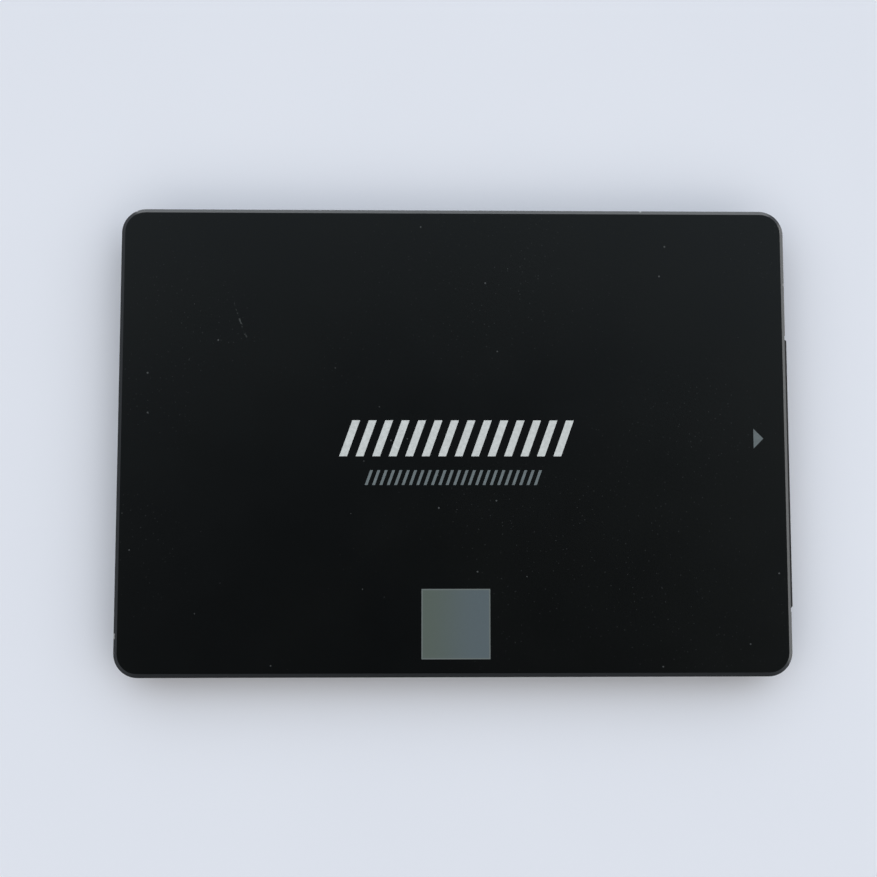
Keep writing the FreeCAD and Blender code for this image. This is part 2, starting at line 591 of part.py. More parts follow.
def ball_grid(name, columns, rows):
    """Grid of solder joints, drawn as short drums about the middle of a package."""
    body = new_body(name, placed=False)
    corner = (f"{1 - columns} * dims.ball_pitch / 2", f"{1 - rows} * dims.ball_pitch / 2", "dims.ball_radius")
    drum = pad(body, "drum", [corner], "0", "dims.ball_height")
    grid = body.newObject("PartDesign::LinearPattern", "grid")
    grid.Originals = [drum]
    grid.Direction = (origin_feature(body, "X_Axis"), [""])
    grid.Direction2 = (origin_feature(body, "Y_Axis"), [""])
    grid.Occurrences = columns
    grid.Occurrences2 = rows
    grid.setExpression("Length", f"{columns - 1} * dims.ball_pitch")
    grid.setExpression("Length2", f"{rows - 1} * dims.ball_pitch")
    return finish_feature(body, grid, True)


def packages():
    """Controller, buffer memory, eight flash packages and their solder joints."""
    on_board = f"{BOARD_TOP} + dims.ball_height"
    package("controller_package", "dims.controller_size", "dims.controller_size", "dims.controller_height",
            "dims.controller_x", "dims.controller_y", on_board)
    package("buffer_memory_package", "dims.buffer_length", "dims.buffer_width", "dims.buffer_height",
            "dims.buffer_x", "dims.buffer_y", on_board)
    package("power_regulator", "dims.regulator_size", "dims.regulator_size", "dims.regulator_height",
            "dims.regulator_x", "dims.regulator_y", BOARD_TOP)
    package("boot_memory_package", "dims.boot_length", "dims.boot_width", "dims.boot_height",
            "dims.boot_x", "dims.boot_y", BOARD_TOP)
    below_board = "dims.board_bottom - dims.ball_height"
    levels = (on_board, f"{below_board} - dims.flash_height")
    number = 0
    for level in levels:
        for x, y in FLASH_PLACES:
            number += 1
            package(f"flash_package_{number}", "dims.flash_length", "dims.flash_width",
                    "dims.flash_height", x, y, level)
    controller_grid = ball_grid("controller_ball_grid", 12, 12)
    copies("controller_balls", controller_grid.getParent(),
           [("dims.controller_x", "dims.controller_y", BOARD_TOP, 0)])
    buffer_grid = ball_grid("buffer_ball_grid", 6, 8)
    copies("buffer_memory_balls", buffer_grid.getParent(), [("dims.buffer_x", "dims.buffer_y", BOARD_TOP, 0)])
    flash_grid = ball_grid("flash_ball_grid", 6, 10)
    places = [(x, y, level, 0) for level in (BOARD_TOP, below_board) for x, y in FLASH_PLACES]
    copies("flash_balls", flash_grid.getParent(), places)


def thermal_pads():
    """Soft pads between the packages and the case."""
    stack = f"{BOARD_TOP} + dims.ball_height"
    controller = new_body("controller_thermal_pad")
    half = "(dims.controller_size / 2 - dims.pad_margin)"
    pad(controller, "sheet", [block("dims.controller_x", "dims.controller_y", half, half)],
        f"{stack} + dims.controller_height", "dims.plateau_face")
    half_x = "(dims.flash_length / 2 - dims.pad_margin)"
    half_y = "(dims.flash_width / 2 - dims.pad_margin)"
    outlines = [block(x, y, half_x, half_y) for x, y in FLASH_PLACES]
    upper = new_body("flash_thermal_pads")
    pad(upper, "sheets", outlines, f"{stack} + dims.flash_height", ROOF)
    lower = new_body("cover_thermal_pads")
    pad(lower, "sheets", outlines, "dims.plate_thickness",
        "dims.board_bottom - dims.ball_height - dims.flash_height")


# Small parts on the board

def two_ended(name, length, width, height, cap):
    """Body and end caps of a small two-ended part, both about its middle."""
    core = new_body(f"{name}_core", placed=False)
    pad(core, "core", [block("0", "0", f"({length} / 2 - {cap})", f"{width} / 2")], "0", height)
    ends = new_body(f"{name}_ends", placed=False)
    caps = [block(f"{i} * ({length} - {cap}) / 2", "0", f"{cap} / 2", f"{width} / 2") for i in SIGNS]
    pad(ends, "caps", caps, "0", height)
    return core, ends


def row(x, y, count, step_x, step_y, quarter_turns):
    """Places of small parts in a straight row on the board's upper face."""
    places = []
    for index in range(count):
        along_x = f"{x} + {step_x * index} * dims.chip_row_pitch"
        along_y = f"{y} + {step_y * index} * dims.chip_row_pitch"
        places.append((along_x, along_y, BOARD_TOP, quarter_turns))
    return places


def small_parts():
    """Ceramic and polymer capacitors, resistors, inductors, crystal, fuse, diode and their ends."""
    chip = ("dims.chip_length", "dims.chip_width")
    cap_core, cap_ends = two_ended("ceramic", *chip, "dims.chip_height", "dims.chip_cap")
    side = "(dims.controller_size / 2 + dims.cap_row_gap)"
    left = f"dims.controller_x - {side}"
    right = f"dims.controller_x + {side}"
    low = f"dims.controller_y - {side}"
    start = "dims.controller_y - 3 * dims.chip_row_pitch"
    cap_places = row(left, start, 7, 0, 1, 0) + row(right, start, 7, 0, 1, 0)
    cap_places += row("dims.controller_x - 3 * dims.chip_row_pitch", low, 7, 1, 0, 1)
    buffer_side = "dims.buffer_x - dims.buffer_length / 2 - dims.chip_row_pitch"
    cap_places += row(buffer_side, "dims.buffer_y - 2 * dims.chip_row_pitch", 5, 0, 1, 0)
    cap_places += row("dims.flash_near_x - 3 * dims.chip_row_pitch", "0", 7, 1, 0, 1)
    cap_places += row("dims.flash_far_x - 3 * dims.chip_row_pitch", "0", 7, 1, 0, 1)
    copies("ceramic_capacitors", cap_core, cap_places)
    copies("ceramic_capacitor_terminals", cap_ends, cap_places)

    res_core, res_ends = two_ended("resistor", *chip, "dims.resistor_height", "dims.chip_cap")
    boot_side = "dims.boot_y - dims.boot_width / 2 - 2 * dims.chip_row_pitch"
    res_places = row("dims.boot_x - 2 * dims.chip_row_pitch", boot_side, 5, 1, 0, 1)
    buffer_end = "dims.buffer_y + dims.buffer_width / 2 + dims.chip_row_pitch"
    res_places += row("dims.buffer_x - 2 * dims.chip_row_pitch", buffer_end, 5, 1, 0, 1)
    res_places += row("dims.signal_row_x", "dims.signal_row_y", 5, 0, 1, 0)
    copies("chip_resistors", res_core, res_places)
    copies("resistor_terminals", res_ends, res_places)

    pol_core, pol_ends = two_ended("polymer", "dims.polymer_length", "dims.polymer_width",
                                   "dims.polymer_height", "dims.chip_cap")
    pol_places = [("dims.polymer_x", f"dims.polymer_y - {i} * dims.polymer_pitch", BOARD_TOP, 0)
                  for i in range(3)]
    copies("polymer_capacitors", pol_core, pol_places)
    copies("polymer_capacitor_leads", pol_ends, pol_places)

    ind_core, ind_ends = two_ended("inductor", "dims.inductor_size", "dims.inductor_size",
                                   "dims.inductor_height", "dims.terminal_length")
    ind_places = [(f"dims.inductor_x + {i} * dims.inductor_pitch", "dims.inductor_y", BOARD_TOP, 0)
                  for i in range(2)]
    copies("inductor_cores", ind_core, ind_places)
    copies("inductor_terminals", ind_ends, ind_places)

    protector = ("dims.protector_length", "dims.protector_width", "dims.protector_height",
                 "dims.terminal_length")
    fuse_core, fuse_ends = two_ended("fuse", *protector)
    fuse_place = [("dims.fuse_x", "dims.fuse_y", BOARD_TOP, 0)]
    copies("input_fuse", fuse_core, fuse_place)
    copies("fuse_terminals", fuse_ends, fuse_place)
    diode_core, diode_ends = two_ended("diode", *protector)
    diode_place = [("dims.diode_x", "dims.diode_y", BOARD_TOP, 0)]
    copies("surge_diode", diode_core, diode_place)
    copies("surge_diode_leads", diode_ends, diode_place)

    half_x = "dims.crystal_length / 2"
    half_y = "dims.crystal_width / 2"
    base = new_body("crystal_base")
    pad(base, "tray", [block("dims.crystal_x", "dims.crystal_y", half_x, half_y)],
        BOARD_TOP, f"{BOARD_TOP} + dims.crystal_height / 2")
    lid = new_body("crystal_lid")
    inner_x = f"({half_x} - dims.package_chamfer)"
    inner_y = f"({half_y} - dims.package_chamfer)"
    pad(lid, "lid", [block("dims.crystal_x", "dims.crystal_y", inner_x, inner_y)],
        f"{BOARD_TOP} + dims.crystal_height / 2", f"{BOARD_TOP} + dims.crystal_height")


def boot_memory_leads():
    """Gull-wing leads, four on each side of the small-outline package."""
    body = new_body("boot_memory_leads")
    outlines = []
    for i in SIGNS:
        for step in (-1.5, -0.5, 0.5, 1.5):
            x = f"dims.boot_x + {step} * dims.lead_pitch"
            y = f"dims.boot_y + {i} * (dims.boot_width + dims.lead_reach) / 2"
            outlines.append(block(x, y, "dims.lead_width / 2", "dims.lead_reach / 2"))
    pad(body, "feet", outlines, BOARD_TOP, f"{BOARD_TOP} + dims.lead_thickness")


def build():
    """Make every sub-part."""
    top_cover()
    bottom_cover()
    rear_label()
    case_screws()
    board_screws()
    circuit_board()
    signal_middle = "(dims.signal_low + dims.signal_high) / 2"
    power_middle = "(dims.power_low + dims.power_high) / 2"
    grounds_first = ["long" if index % 3 == 0 else "middle" for index in range(7)]
    power_tips = ["short"] * 2 + ["middle", "long"] + ["middle"] * 3 + ["short"] * 2
    power_tips += ["middle"] * 2 + ["long", "middle"] + ["short"] * 2
    signal = contact_row("signal_contacts", signal_middle, grounds_first)
    power = contact_row("power_contacts", power_middle, power_tips)
    connector_housing([signal, power])
    connector_locks()
    packages()
    thermal_pads()
    small_parts()
    boot_memory_leads()


def export():
    """Check every object, then write one file for each sub-part."""
    document.recompute()
    for item in document.Objects:
        if "Invalid" in item.State or "Error" in item.State:
            raise RuntimeError(f"{item.Name} is {item.State}")
    for item in sub_parts:
        if item.Shape.isNull() or not item.Shape.isValid():
            raise RuntimeError(f"{item.Label} has a bad shape")
    os.makedirs("parts", exist_ok=True)
    for item in sub_parts:
        item.Shape.exportStep(f"parts/{item.Label}.step")
        print(item.Label, len(item.Shape.Solids), round(item.Shape.Volume, 2))


build()
export()
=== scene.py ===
import json
import math

import bmesh
import bpy
from mathutils import Euler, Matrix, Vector

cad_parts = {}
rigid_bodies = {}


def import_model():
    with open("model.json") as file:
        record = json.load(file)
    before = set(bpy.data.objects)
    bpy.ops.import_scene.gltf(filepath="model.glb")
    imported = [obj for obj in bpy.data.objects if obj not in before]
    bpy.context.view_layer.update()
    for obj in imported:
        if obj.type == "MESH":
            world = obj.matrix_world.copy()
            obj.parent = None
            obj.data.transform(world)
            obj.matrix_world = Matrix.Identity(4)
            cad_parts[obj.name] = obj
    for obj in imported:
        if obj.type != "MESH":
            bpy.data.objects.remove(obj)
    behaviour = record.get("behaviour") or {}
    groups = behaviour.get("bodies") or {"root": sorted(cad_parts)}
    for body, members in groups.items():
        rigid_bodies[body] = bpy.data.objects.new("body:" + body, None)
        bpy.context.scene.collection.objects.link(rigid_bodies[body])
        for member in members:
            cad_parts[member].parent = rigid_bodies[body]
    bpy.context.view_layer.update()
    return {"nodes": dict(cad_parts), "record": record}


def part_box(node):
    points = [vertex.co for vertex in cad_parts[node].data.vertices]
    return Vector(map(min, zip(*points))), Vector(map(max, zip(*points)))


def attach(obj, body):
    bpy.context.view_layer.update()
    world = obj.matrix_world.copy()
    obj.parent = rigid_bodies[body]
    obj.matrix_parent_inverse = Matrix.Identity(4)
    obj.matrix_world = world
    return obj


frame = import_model()

# Solid state drive lying flat, roof up, plug towards +x. Lengths below are millimetres unless a name
# says otherwise, and MM turns them into the frame's metres.
MM = 0.001
TO_MM = 1000.0

# ---------------------------------------------------------------- node helpers


class Look:
    """One procedural material: a Principled shader and short calls for the nodes that feed it."""

    def __init__(self, name, colour, roughness, metallic=0.0):
        self.material = bpy.data.materials.new(name)
        self.material.use_nodes = True
        self.tree = self.material.node_tree
        self.shader = self.tree.nodes["Principled BSDF"]
        self.set("Base Color", (*colour, 1.0))
        self.set("Roughness", roughness)
        self.set("Metallic", metallic)
        place = self.node("ShaderNodeTexCoord").outputs["Object"]
        self.place = self.vector("MULTIPLY", place, (TO_MM, TO_MM, TO_MM))
        self.geometry = self.node("ShaderNodeNewGeometry")

    def node(self, kind, **settings):
        """A new node with some of its properties set."""
        made = self.tree.nodes.new(kind)
        for key, value in settings.items():
            setattr(made, key, value)
        return made

    def feed(self, socket, source):
        """Link a socket from another one, or set it to a plain value."""
        if isinstance(source, bpy.types.NodeSocket):
            self.tree.links.new(source, socket)
        else:
            socket.default_value = source

    def set(self, name, source):
        """Feed one of the shader's own sockets."""
        self.feed(self.shader.inputs[name], source)

    def vector(self, operation, first, second):
        """Vector arithmetic."""
        made = self.node("ShaderNodeVectorMath", operation=operation)
        self.feed(made.inputs[0], first)
        self.feed(made.inputs[1], second)
        return made.outputs["Vector"]

    def math(self, operation, first, second=0.0):
        """Number arithmetic."""
        made = self.node("ShaderNodeMath", operation=operation)
        for socket, source in zip(made.inputs, (first, second)):
            self.feed(socket, source)
        return made.outputs[0]

    def axis(self, vector, letter):
        """One part of a vector."""
        made = self.node("ShaderNodeSeparateXYZ")
        self.feed(made.inputs[0], vector)
        return made.outputs[letter]

    def step(self, source, low, high):
        """Smooth rise from 0 at low to 1 at high."""
        made = self.node("ShaderNodeMapRange", interpolation_type="SMOOTHSTEP")
        self.feed(made.inputs["Value"], source)
        made.inputs["From Min"].default_value = low
        made.inputs["From Max"].default_value = high
        return made.outputs["Result"]

    def spread(self, source, low, high):
        """A 0 to 1 number stretched to low and high."""
        made = self.node("ShaderNodeMapRange")
        self.feed(made.inputs["Value"], source)
        made.inputs["To Min"].default_value = low
        made.inputs["To Max"].default_value = high
        return made.outputs["Result"]

    def turned(self, stretch, degrees=0.0):
        """Position in millimetres, turned about z and then scaled along each axis."""
        made = self.node("ShaderNodeMapping", vector_type="POINT")
        self.feed(made.inputs["Vector"], self.place)
        made.inputs["Rotation"].default_value = (0.0, 0.0, math.radians(degrees))
        made.inputs["Scale"].default_value = stretch
        return made.outputs["Vector"]

    def noise(self, per_mm, detail=3.0, stretch=(1.0, 1.0, 1.0), degrees=0.0):
        """Fractal noise, about 0.5, with so many grains in a millimetre."""
        made = self.node("ShaderNodeTexNoise")
        self.feed(made.inputs["Vector"], self.turned([per_mm * part for part in stretch], degrees))
        made.inputs["Scale"].default_value = 1.0
        made.inputs["Detail"].default_value = detail
        return made.outputs["Fac"]

    def cells(self, per_mm):
        """Distance to the middle of a random cell, and the cell's own random number."""
        made = self.node("ShaderNodeTexVoronoi")
        self.feed(made.inputs["Vector"], self.turned((per_mm, per_mm, per_mm)))
        made.inputs["Scale"].default_value = 1.0
        return made.outputs["Distance"], self.axis(made.outputs["Color"], "X")

    def mix(self, factor, first, second):
        """Blend of two colours."""
        made = self.node("ShaderNodeMix", data_type="RGBA")
        self.feed(made.inputs[0], factor)
        for socket, source in ((made.inputs[6], first), (made.inputs[7], second)):
            self.feed(socket, (*source, 1.0) if isinstance(source, tuple) else source)
        return made.outputs[2]

    def blend(self, factor, first, second):
        """Blend of two numbers."""
        made = self.node("ShaderNodeMix", data_type="FLOAT")
        self.feed(made.inputs[0], factor)
        self.feed(made.inputs[2], first)
        self.feed(made.inputs[3], second)
        return made.outputs[0]

    def bump(self, height, depth):
        """Relief of the given depth in millimetres, added to what is there already."""
        made = self.node("ShaderNodeBump")
        made.inputs["Distance"].default_value = depth * MM
        self.feed(made.inputs["Height"], height)
        there = self.shader.inputs["Normal"]
        if there.is_linked:
            self.feed(made.inputs["Normal"], there.links[0].from_socket)
        self.feed(there, made.outputs["Normal"])

    def specks(self, per_mm, radius, share):
        """Round specks, up to a radius in millimetres, in a share of the cells of the plan view."""
        made = self.node("ShaderNodeTexVoronoi", voronoi_dimensions="2D")
        self.feed(made.inputs["Vector"], self.turned((per_mm, per_mm, per_mm), 31.0))
        made.inputs["Scale"].default_value = 1.0
        chance = self.axis(made.outputs["Color"], "Z")
        reach = self.math("MULTIPLY", chance, radius * per_mm / share)
        near = self.math("LESS_THAN", made.outputs["Distance"], reach)
        return self.math("MULTIPLY", near, self.math("LESS_THAN", chance, share))

    def streak(self, x, y, length, width, degrees):
        """One broken, slightly wandering scratch about a point, its length and width in millimetres."""
        made = self.node("ShaderNodeMapping", vector_type="TEXTURE")
        self.feed(made.inputs["Vector"], self.place)
        made.inputs["Location"].default_value = (x, y, 0.0)
        made.inputs["Rotation"].default_value = (0.0, 0.0, math.radians(degrees))
        bend = self.spread(self.noise(0.35, 2.0), -0.7, 0.7)
        along = self.math("ABSOLUTE", self.axis(made.outputs["Vector"], "X"))
        across = self.math("ABSOLUTE", self.math("ADD", self.axis(made.outputs["Vector"], "Y"), bend))
        ends = self.step(along, length / 2, length * 0.3)
        line = self.math("MULTIPLY", ends, self.step(across, width, 0.0))
        return self.math("MULTIPLY", line, self.step(self.noise(2.2, 2.0), 0.45, 0.58))


# ---------------------------------------------------------------- materials


# Middle x and y, length, width and direction of the one scratch on the roof, and the level at which the
# cut edge starts, as a smooth step.
SCRATCH = (-32.2, 18.2, 7.5, 0.16, 106.0)
CUT_EDGE_FROM = (6.0, 6.1)


def case_look(name, blast_depth, cut_edge):
    """Black anodised aluminium, finely blasted, with handling dust and a smoother cut edge."""
    look = Look(name, (0.0028, 0.0031, 0.0031), 0.30)
    look.set("Specular IOR Level", 0.18)
    look.set("Specular Tint", (0.86, 0.97, 1.0, 1.0))
    tilt = look.axis(look.geometry.outputs["Normal"], "Z")
    level = look.step(look.math("ABSOLUTE", tilt), 0.97, 0.995)
    cloud = look.step(look.noise(0.035, 2.0), 0.35, 0.7)
    colour = look.mix(cloud, (0.0017, 0.0020, 0.0022), (0.0027, 0.0030, 0.0028))
    grain = look.noise(9.0, 2.0)
    colour = look.mix(look.spread(grain, 0.0, 0.35), colour, (0.0050, 0.0056, 0.0055))
    dusty = look.step(look.noise(0.045, 2.0), 0.42, 0.66)
    fine_dust = look.math("MULTIPLY", look.specks(1.3, 0.085, 0.35), dusty)
    dust = look.specks(0.22, 0.15, 0.15)
    colour = look.mix(look.math("MULTIPLY", fine_dust, level), colour, (0.022, 0.024, 0.024))
    colour = look.mix(look.math("MULTIPLY", dust, level), colour, (0.065, 0.070, 0.070))
    streak = look.math("MULTIPLY", look.streak(*SCRATCH), level)
    colour = look.mix(streak, colour, (0.060, 0.066, 0.064))
    roughness = look.spread(look.noise(0.12, 4.0), 0.26, 0.33)
    wave = look.noise(2.2, 3.0)
    if cut_edge:
        edge = look.math("MULTIPLY", look.step(tilt, 0.25, 0.45), look.step(tilt, 0.97, 0.90))
        edge = look.math("MULTIPLY", edge, look.step(look.axis(look.place, "Z"), *CUT_EDGE_FROM))
        wear = look.spread(look.noise(0.9, 3.0), 0.5, 1.0)
        edge = look.math("MULTIPLY", edge, wear)
        nick = look.math("MULTIPLY", edge, look.step(look.noise(0.33, 5.0), 0.70, 0.72))
        colour = look.mix(edge, colour, (0.0035, 0.0040, 0.0045))
        colour = look.mix(nick, colour, (0.34, 0.34, 0.33))
        roughness = look.blend(edge, roughness, 0.33)
        grain = look.blend(edge, grain, 0.5)
        wave = look.blend(edge, wave, 0.5)
    look.set("Base Color", colour)
    look.set("Roughness", roughness)
    look.bump(grain, blast_depth)
    look.bump(wave, blast_depth)
    return look.material


def steel_look(name, colour, roughness, lines_per_mm=6.0):
    """Turned or rolled metal with fine lines and small stains."""
    look = Look(name, colour, roughness, 1.0)
    stain = look.step(look.noise(1.1, 3.0), 0.45, 0.75)
    darker = tuple(part * 0.72 for part in colour)
    look.set("Base Color", look.mix(stain, colour, darker))
    look.set("Roughness", look.spread(look.noise(2.6, 4.0), roughness * 0.75, roughness * 1.3))
    look.bump(look.noise(lines_per_mm, 2.0, (1.0, 0.15, 1.0)), 0.004)
    return look.material


def screw_look():
    """Black oxide screw steel, worn towards the steel in random patches."""
    look = Look("screw_black_oxide", (0.03, 0.03, 0.032), 0.38, 1.0)
    worn = look.step(look.noise(2.2, 4.0), 0.58, 0.78)
    look.set("Base Color", look.mix(worn, (0.040, 0.040, 0.043), (0.085, 0.084, 0.081)))
    look.set("Roughness", look.spread(look.noise(5.0, 3.0), 0.32, 0.42))
    look.bump(look.noise(14.0, 2.0), 0.003)
    return look.material


def moulded_look(name, colour, roughness, grains_per_mm, relief):
    """Moulded plastic or compound with a fine even grain."""
    look = Look(name, colour, roughness)
    lighter = tuple(part * 1.35 + 0.002 for part in colour)
    grain = look.noise(grains_per_mm, 3.0)
    look.set("Base Color", look.mix(look.step(look.noise(0.5, 3.0), 0.4, 0.75), colour, lighter))
    look.set("Roughness", look.spread(grain, roughness * 0.85, roughness * 1.15))
    look.bump(grain, relief)
    return look.material


def plug_look():
    """Glass-filled black plastic: short bright fibres and a slight flow pattern."""
    dark = (0.010, 0.010, 0.0105)
    look = Look("plug_plastic", dark, 0.42)
    look.set("Specular IOR Level", 0.4)
    fibre = look.noise(1.0, 1.0, (3.0, 22.0, 22.0), 20.0)
    shine = look.step(fibre, 0.66, 0.74)
    look.set("Base Color", look.mix(look.math("MULTIPLY", shine, 0.5), dark, (0.035, 0.035, 0.037)))
    look.set("Roughness", look.spread(look.noise(1.2, 3.0), 0.34, 0.5))
    look.bump(look.noise(7.0, 3.0), 0.006)
    return look.material


def gold_look():
    """Gold over nickel, wiped along the mating direction."""
    look = Look("contact_gold", (0.83, 0.56, 0.20), 0.24, 1.0)
    wiped = look.noise(1.0, 3.0, (0.5, 16.0, 2.0))
    look.set("Base Color", look.mix(look.step(wiped, 0.4, 0.75), (0.86, 0.60, 0.23), (0.70, 0.45, 0.16)))
    look.set("Roughness", look.spread(wiped, 0.16, 0.36))
    look.bump(wiped, 0.004)
    return look.material


def board_look():
    """Green solder mask over weave, with etched tracks that show as slightly raised lighter lines."""
    look = Look("board_solder_mask", (0.012, 0.085, 0.035), 0.35)
    tracks_x = look.noise(1.0, 0.0, (0.06, 1.3, 1.0))
    tracks_y = look.noise(1.0, 0.0, (1.3, 0.06, 1.0))
    region = look.step(look.noise(0.07, 0.0), 0.48, 0.52)
    lines = look.blend(region, tracks_x, tracks_y)
    bands = look.math("FRACT", look.math("MULTIPLY", lines, 14.0))
    track = look.math("MULTIPLY", look.step(bands, 0.30, 0.36), look.step(bands, 0.72, 0.66))
    distance, chance = look.cells(0.55)
    via = look.math("MULTIPLY", look.step(distance, 0.16, 0.13), look.math("GREATER_THAN", chance, 0.35))
    colour = look.mix(track, (0.010, 0.070, 0.030), (0.020, 0.125, 0.050))
    look.set("Base Color", look.mix(via, colour, (0.42, 0.36, 0.18)))
    look.set("Metallic", look.math("MULTIPLY", via, 0.8))
    look.bump(look.math("ADD", track, via), 0.03)
    look.bump(look.noise(2.4, 1.0), 0.006)
    return look.material


def film_look():
    """White printed film with a slight emboss from the plate under it."""
    look = Look("label_film", (0.60, 0.61, 0.62), 0.36)
    look.set("Base Color", look.mix(look.noise(0.12, 3.0), (0.56, 0.57, 0.58), (0.66, 0.67, 0.68)))
    look.set("Roughness", look.spread(look.noise(0.8, 3.0), 0.3, 0.44))
    look.bump(look.noise(0.35, 3.0), 0.02)
    return look.material


def ink_look(name, colour, roughness):
    """Screen-printed ink: tiny pinholes of tone and a fine matt grain."""
    look = Look(name, colour, roughness)
    darker = tuple(part * 0.86 for part in colour)
    look.set("Base Color", look.mix(look.step(look.noise(2.4, 4.0), 0.35, 0.7), darker, colour))
    look.set("Roughness", look.spread(look.noise(5.0, 2.0), roughness * 0.9, roughness * 1.1))
    look.bump(look.noise(11.0, 2.0), 0.004)
    return look.material


def square_look():
    """Grey ink of the square, drifting from warm to cool, with a slightly lighter rim."""
    look = Look("ink_square", (0.091, 0.120, 0.118), 0.42)
    drift = look.step(look.math("ADD", look.axis(look.place, "X"), look.noise(0.12, 1.0)), -4.0, 4.5)
    colour = look.mix(drift, (0.090, 0.117, 0.098), (0.092, 0.123, 0.137))
    grain = look.noise(2.4, 4.0)
    colour = look.mix(look.spread(grain, 0.0, 0.25), colour, (0.066, 0.085, 0.083))
    across = look.math("ABSOLUTE", look.math("SUBTRACT", look.axis(look.place, "X"), SQUARE_X))
    along = look.math("ABSOLUTE", look.math("SUBTRACT", look.axis(look.place, "Y"), SQUARE_Y))
    across = look.math("SUBTRACT", across, SQUARE_HALF_X)
    along = look.math("SUBTRACT", along, SQUARE_HALF_Y)
    edge = look.step(look.math("MAXIMUM", across, along), *SQUARE_RIM)
    look.set("Base Color", look.mix(edge, colour, (0.138, 0.162, 0.156)))
    look.set("Roughness", look.spread(grain, 0.38, 0.46))
    look.bump(look.noise(11.0, 2.0), 0.004)
    return look.material


def silicone_look():
    """Soft filled silicone of the thermal pads."""
    look = Look("thermal_silicone", (0.16, 0.24, 0.34), 0.7)
    look.set("Base Color", look.mix(look.noise(1.6, 4.0), (0.13, 0.20, 0.29), (0.20, 0.28, 0.39)))
    look.bump(look.noise(3.0, 3.0), 0.03)
    return look.material


def floor_look():
    """Plain pale floor with only a faint unevenness of tone, clear when seen from below."""
    look = Look("pale_floor", (0.83, 0.855, 0.91), 0.75)
    look.set("Base Color", look.mix(look.noise(0.02, 3.0), (0.815, 0.84, 0.90), (0.85, 0.875, 0.93)))
    clear = look.node("ShaderNodeBsdfTransparent")
    sides = look.node("ShaderNodeMixShader")
    look.feed(sides.inputs[0], look.geometry.outputs["Backfacing"])
    look.feed(sides.inputs[1], look.shader.outputs[0])
    look.feed(sides.inputs[2], clear.outputs[0])
    look.feed(look.tree.nodes["Material Output"].inputs["Surface"], sides.outputs[0])
    return look.material


SLOT_LOOKS = {
    "case_shell": case_look("case_black_anodised", 0.005, True),
    "case_plate": case_look("plate_black_anodised", 0.007, False),
    "screw_steel": screw_look(),
    "board_screw_steel": steel_look("plated_steel", (0.55, 0.54, 0.52), 0.3),
    "label_film": film_look(),
    "board_laminate": board_look(),
    "plug_plastic": plug_look(),
    "contact_gold": gold_look(),
    "tinned_metal": steel_look("tinned_metal", (0.62, 0.62, 0.60), 0.34),
    "solder": steel_look("solder", (0.58, 0.58, 0.57), 0.28, 3.0),
    "mould_compound": moulded_look("mould_compound", (0.012, 0.012, 0.013), 0.55, 10.0, 0.008),
    "regulator_compound": moulded_look("regulator_compound", (0.016, 0.016, 0.017), 0.5, 12.0, 0.006),
    "ceramic_body": moulded_look("ceramic_body", (0.30, 0.19, 0.10), 0.45, 6.0, 0.006),
    "resistor_body": moulded_look("resistor_glaze", (0.012, 0.012, 0.014), 0.22, 8.0, 0.003),
    "polymer_case": moulded_look("polymer_epoxy", (0.05, 0.042, 0.032), 0.5, 8.0, 0.006),
    "inductor_core": moulded_look("inductor_powder", (0.06, 0.06, 0.065), 0.6, 9.0, 0.012),
    "crystal_ceramic": moulded_look("crystal_ceramic", (0.36, 0.32, 0.26), 0.5, 6.0, 0.005),
    "crystal_metal": steel_look("crystal_lid_metal", (0.62, 0.60, 0.55), 0.25),
    "fuse_body": moulded_look("fuse_ceramic", (0.62, 0.60, 0.54), 0.5, 6.0, 0.004),
    "thermal_silicone": silicone_look(),
}


def dress_cad_nodes():
    """Give every carried-over node the procedural material of its slot."""
    slots = {row["node"]: row["material_slot"] for row in frame["record"]["subparts"]}
    for name, node in frame["nodes"].items():
        node.data.materials.clear()
        node.data.materials.append(SLOT_LOOKS[slots[name]])


# ---------------------------------------------------------------- pieces


def new_piece(name, mesh, material):
    """Turn a bmesh into a piece that rides with the drive."""
    data = bpy.data.meshes.new(name)
    bmesh.ops.recalc_face_normals(mesh, faces=mesh.faces)
    mesh.to_mesh(data)
    mesh.free()
    piece = bpy.data.objects.new(name, data)
    bpy.context.scene.collection.objects.link(piece)
    data.materials.append(material)
    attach(piece, "root")


def prism(mesh, outline, low, high):
    """Closed prism over a flat outline, between two levels, all in millimetres."""
    lower = [mesh.verts.new((x * MM, y * MM, low * MM)) for x, y in outline]
    upper = [mesh.verts.new((x * MM, y * MM, high * MM)) for x, y in outline]
    count = len(outline)
    mesh.faces.new(lower[::-1])
    mesh.faces.new(upper)
    for index in range(count):
        following = (index + 1) % count
        mesh.faces.new((lower[index], lower[following], upper[following], upper[index]))


def rounded_outline(x_low, x_high, y_low, y_high, radius, steps=6):
    """Points of a rectangle with round corners."""
    radius = min(radius, (x_high - x_low) / 2, (y_high - y_low) / 2)
    centres = ((x_high - radius, y_high - radius), (x_low + radius, y_high - radius),
               (x_low + radius, y_low + radius), (x_high - radius, y_low + radius))
    points = []
    for quarter, (x, y) in enumerate(centres):
        for step in range(steps + 1):
            angle = (quarter + step / steps) * math.pi / 2
            points.append((x + radius * math.cos(angle), y + radius * math.sin(angle)))
    return points


def box_mm(node):
    """Lowest and highest corner of a CAD node in millimetres."""
    low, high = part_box(node)
    return low * TO_MM, high * TO_MM


CASE_LOW, CASE_HIGH = box_mm("top_cover")
CASE_X = (CASE_LOW.x + CASE_HIGH.x) / 2
INK_THICKNESS = 0.012
INK_TOP = CASE_HIGH.z + INK_THICKNESS
INK_BOTTOM = CASE_HIGH.z - INK_THICKNESS

